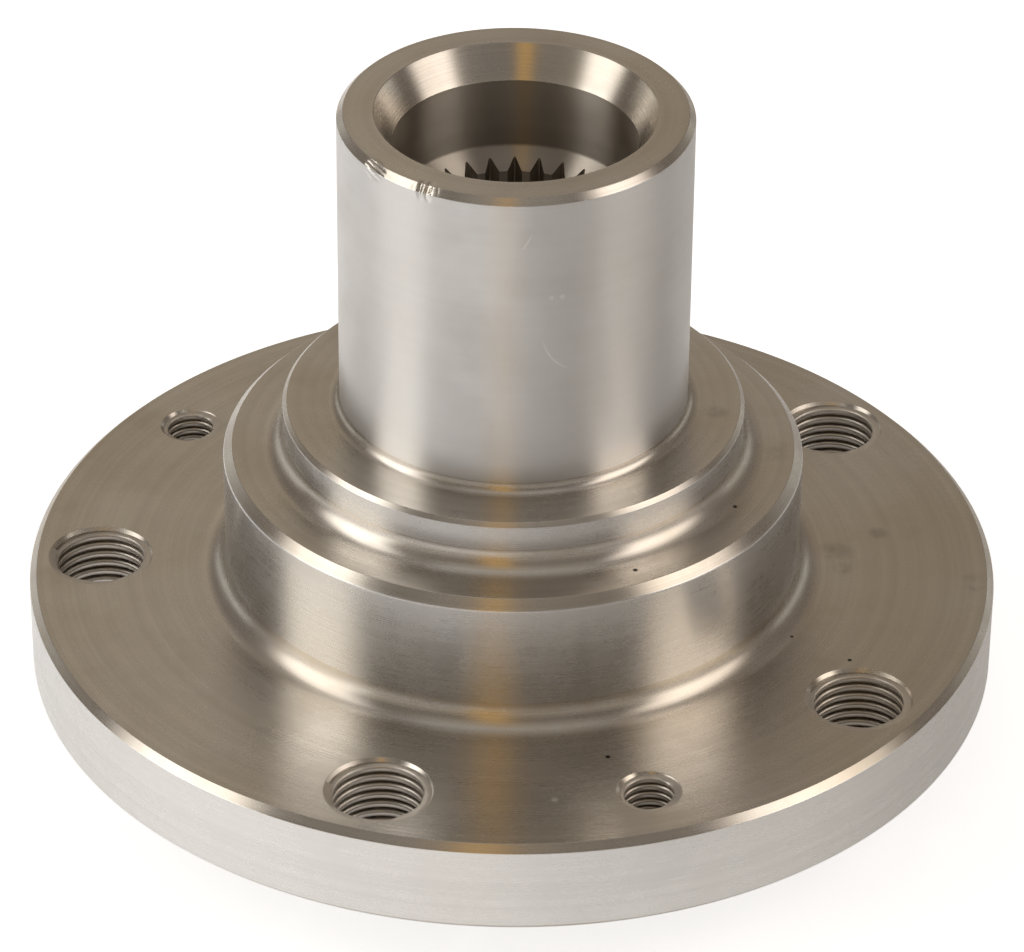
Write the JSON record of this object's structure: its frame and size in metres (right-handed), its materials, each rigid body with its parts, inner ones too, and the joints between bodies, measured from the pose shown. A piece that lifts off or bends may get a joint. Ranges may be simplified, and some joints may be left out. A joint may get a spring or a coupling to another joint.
{
  "type": "wheel hub",
  "caption": "Driven wheel hub in turned steel: round flange with tapped holes, stepped boss, bearing journal and a splined bore.",
  "frame": {"origin": "on the hub's axis, in the plane of the wheel's mounting face", "axes": "+Z along the axis, from the wheel's mounting face towards the bearing journal; +X between two wheel bolt holes"},
  "size_m": [0.138, 0.138, 0.0972],
  "materials": {
    "turned_steel": "bare turned steel, warm grey, fine turning rings on every face"
  },
  "bodies": {
    "root": {"wheel_hub": "turned_steel"}
  },
  "joints": []
}
